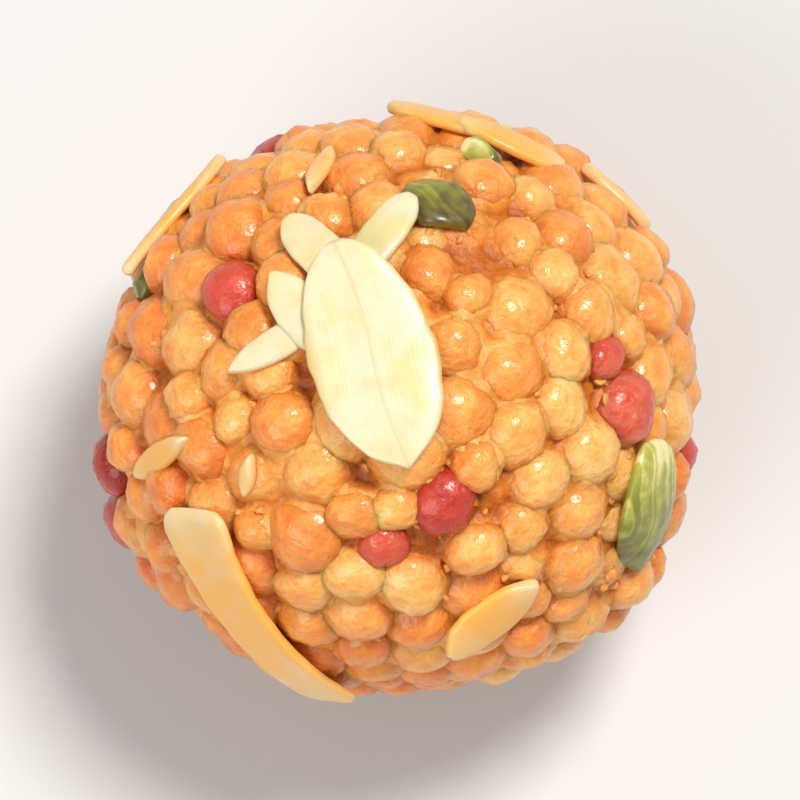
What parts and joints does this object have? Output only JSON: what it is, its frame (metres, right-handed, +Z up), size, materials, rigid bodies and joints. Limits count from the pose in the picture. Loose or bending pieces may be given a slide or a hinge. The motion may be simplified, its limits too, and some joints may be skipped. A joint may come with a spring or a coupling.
{
  "type": "boondi ladoo",
  "caption": "Round sweet pressed by hand from small fried gram-flour drops in syrup, with almond flakes, almond slivers and chopped pistachio on its skin.",
  "frame": {"origin": "middle of the small flat spot on the underside, on the surface that the sweet rests on", "axes": "+Z up through the ball and the almond flake on its crown; -Y is the front, towards the long almond slice low on the ball; +X to the right"},
  "size_m": [0.0499, 0.0495, 0.0494],
  "materials": {
    "boondi": "orange-gold fried gram-flour drops, glazed with sugar syrup and ghee",
    "red_boondi": "boondi dyed red, glazed with syrup",
    "almond": "blanched almond, cut in flakes and slivers, with a thin film of syrup",
    "pistachio": "chopped green pistachio with a thin film of syrup"
  },
  "bodies": {
    "root": {"ladoo": "boondi"}
  },
  "joints": []
}
